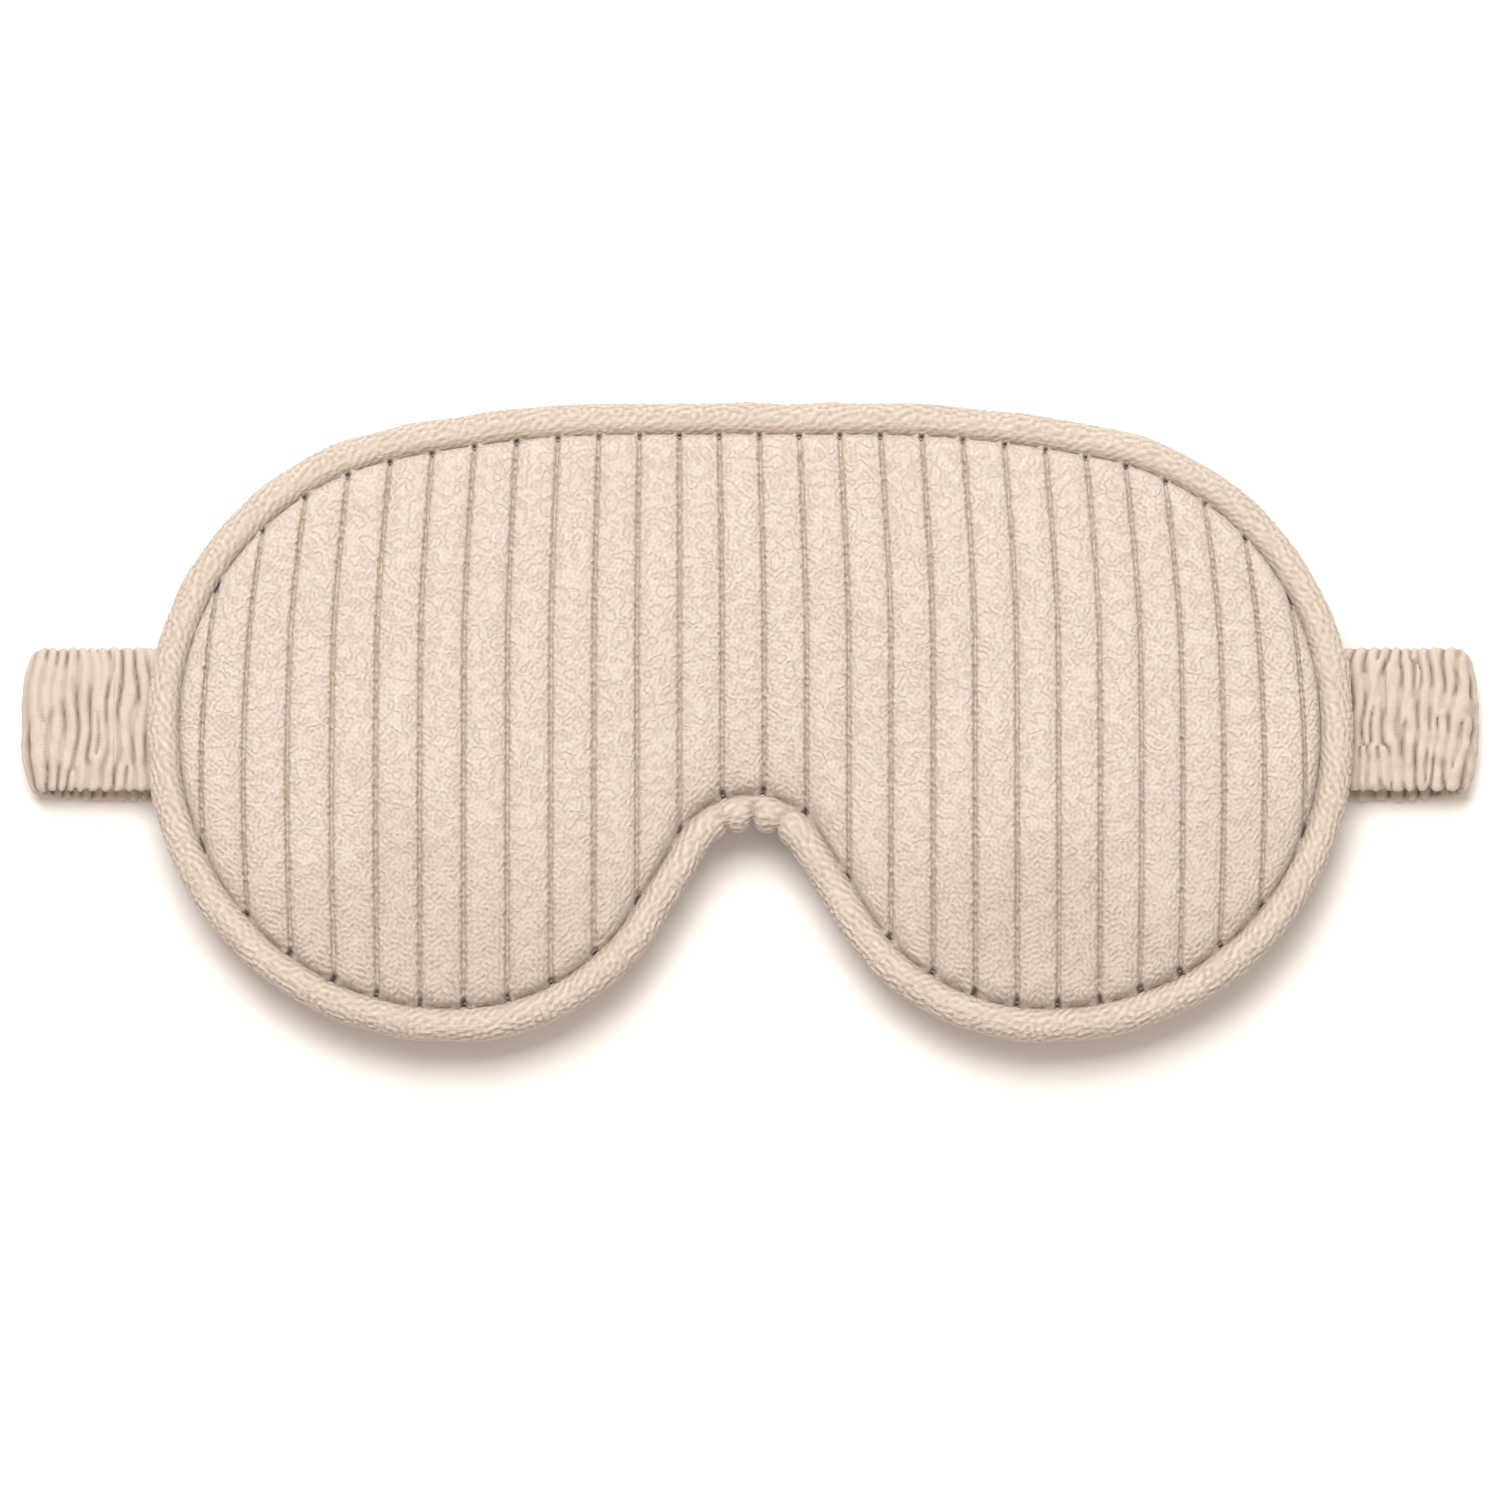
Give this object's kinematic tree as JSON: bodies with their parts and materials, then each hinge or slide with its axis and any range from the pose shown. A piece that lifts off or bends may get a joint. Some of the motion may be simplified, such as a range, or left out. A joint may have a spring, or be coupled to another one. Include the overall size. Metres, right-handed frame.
{
  "type": "sleep mask",
  "caption": "Padded two-lobed sleep mask with wide-wale plush front, bound edge, nose notch and a ruched elastic head strap folded back behind it.",
  "frame": {"origin": "under the middle of the mask, on the surface that the folded strap lies on", "axes": "+X across the mask to its right-hand end seen from the front, +Y towards its top edge, +Z out of its front"},
  "size_m": [0.254, 0.1124, 0.0174],
  "materials": {
    "plush": "wide-wale plush, short curled pile",
    "plush_tape": "plush tape, folded",
    "jersey": "fine ribbed jersey, ruched",
    "lining": "smooth jersey",
    "wadding": "white needled wadding",
    "blackout": "opaque coated cloth",
    "elastic": "woven elastic",
    "thread": "spun thread"
  },
  "bodies": {
    "mask": {"front_panel": "plush", "wadding_pad": "wadding", "blackout_layer": "blackout", "back_panel": "lining", "edge_binding": "plush_tape", "binding_stitches": "thread", "strap_tacks": "thread", "cover_tab_left": "jersey", "elastic_tab_left": "elastic", "cover_tab_right": "jersey", "elastic_tab_right": "elastic"},
    "strap_end_left": {"cover_end_left": "jersey", "elastic_end_left": "elastic"},
    "strap_fold_left": {"cover_fold_left": "jersey", "elastic_fold_left": "elastic"},
    "strap_run_left": {"cover_run_left": "jersey", "elastic_run_left": "elastic"},
    "strap_back_left": {"cover_back_left": "jersey", "elastic_back_left": "elastic"},
    "strap_end_right": {"cover_end_right": "jersey", "elastic_end_right": "elastic"},
    "strap_fold_right": {"cover_fold_right": "jersey", "elastic_fold_right": "elastic"},
    "strap_run_right": {"cover_run_right": "jersey", "elastic_run_right": "elastic"},
    "strap_back_right": {"cover_back_right": "jersey", "elastic_back_right": "elastic"}
  },
  "joints": [
    {"name": "strap_hinge_right", "type": "hinge", "parent": "mask", "child": "strap_end_right", "pos_m": [0.099, 0.0006, 0.0048], "axis": [0, 1, 0], "range_deg": [0, 90]},
    {"name": "strap_fold_upper_right", "type": "hinge", "parent": "strap_end_right", "child": "strap_fold_right", "pos_m": [0.12591, 0.0006, 0.00666], "axis": [0, -1, 0], "range_deg": [0, 69.75]},
    {"name": "strap_fold_lower_right", "type": "hinge", "parent": "strap_fold_right", "child": "strap_run_right", "pos_m": [0.12591, 0.0006, 0.00114], "axis": [0, -1, 0], "range_deg": [0, 69.75]},
    {"name": "strap_turn_right", "type": "hinge", "parent": "strap_run_right", "child": "strap_back_right", "pos_m": [0.045, 0.0006, 0.003], "axis": [0, 1, 0], "range_deg": [0, 49.5]},
    {"name": "strap_hinge_left", "type": "hinge", "parent": "mask", "child": "strap_end_left", "pos_m": [-0.099, 0.0006, 0.0048], "axis": [0, -1, 0], "range_deg": [0, 90]},
    {"name": "strap_fold_upper_left", "type": "hinge", "parent": "strap_end_left", "child": "strap_fold_left", "pos_m": [-0.12591, 0.0006, 0.00666], "axis": [0, 1, 0], "range_deg": [0, 69.75]},
    {"name": "strap_fold_lower_left", "type": "hinge", "parent": "strap_fold_left", "child": "strap_run_left", "pos_m": [-0.12591, 0.0006, 0.00114], "axis": [0, 1, 0], "range_deg": [0, 69.75]},
    {"name": "strap_turn_left", "type": "hinge", "parent": "strap_run_left", "child": "strap_back_left", "pos_m": [-0.045, 0.0006, 0.003], "axis": [0, -1, 0], "range_deg": [0, 49.5]}
  ],
  "couplings": [
    {"joint": "strap_fold_upper_right", "follows": "strap_hinge_right", "ratio": 0.775},
    {"joint": "strap_fold_lower_right", "follows": "strap_hinge_right", "ratio": 0.775},
    {"joint": "strap_turn_right", "follows": "strap_hinge_right", "ratio": 0.55},
    {"joint": "strap_hinge_left", "follows": "strap_hinge_right", "ratio": 1},
    {"joint": "strap_fold_upper_left", "follows": "strap_hinge_right", "ratio": 0.775},
    {"joint": "strap_fold_lower_left", "follows": "strap_hinge_right", "ratio": 0.775},
    {"joint": "strap_turn_left", "follows": "strap_hinge_right", "ratio": 0.55}
  ]
}
